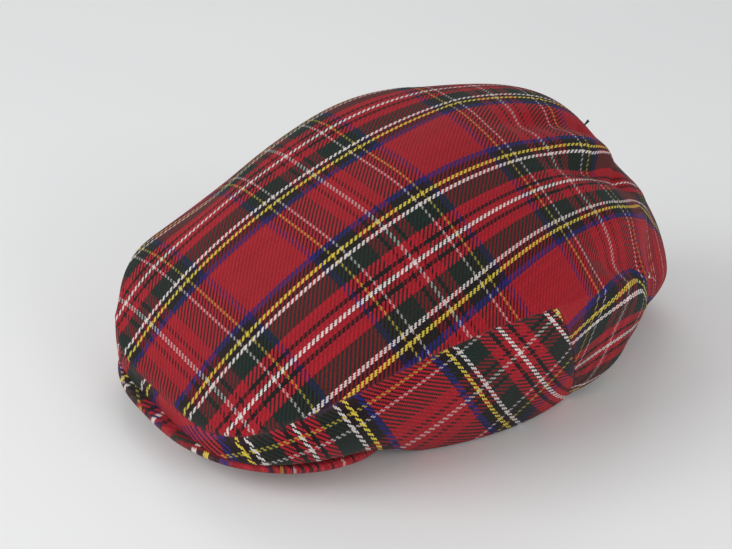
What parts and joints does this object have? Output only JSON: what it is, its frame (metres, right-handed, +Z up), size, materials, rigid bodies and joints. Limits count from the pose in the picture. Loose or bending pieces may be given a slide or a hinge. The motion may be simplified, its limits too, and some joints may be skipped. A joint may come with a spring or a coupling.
{
  "type": "flat cap",
  "caption": "Soft cloth flat cap with a full rounded crown sewn to low side panels, a short stiff front brim, a sweatband and a gathered elastic back.",
  "frame": {"origin": "under the middle of the cap's overall length, in its middle plane, on the resting plane of the hem", "axes": "+Z up out of the crown, brim towards -Y, wearer's left towards +X"},
  "size_m": [0.212, 0.293, 0.1346],
  "materials": {
    "checked_cloth": "brushed wool-look twill in a red, blue, dark green, black, white and yellow check",
    "board": "stiff polyethylene sheet",
    "interlining": "thin fusible wadding",
    "lining": "smooth satin lining",
    "sweatband": "dense cotton twill",
    "elastic": "woven flat elastic",
    "label": "blank woven tape",
    "thread": "sewing thread"
  },
  "bodies": {
    "cap": {"crown_top_panel": "checked_cloth", "side_panel_left": "checked_cloth", "side_panel_right": "checked_cloth", "brim_top_cover": "checked_cloth", "brim_under_cover": "checked_cloth", "brim_board": "board", "crown_interlining": "interlining", "side_interlining_left": "interlining", "side_interlining_right": "interlining", "lining_crown": "lining", "lining_side_left": "lining", "lining_side_right": "lining", "sweatband": "sweatband", "back_elastic": "elastic", "dart_tacks": "thread"},
    "label_flap": {"care_label": "label"}
  },
  "joints": [
    {"name": "label_fold", "type": "hinge", "parent": "cap", "child": "label_flap", "pos_m": [0, 0.08687, 0.03], "axis": [1, 0, 0], "range_deg": [-100, 0]}
  ]
}
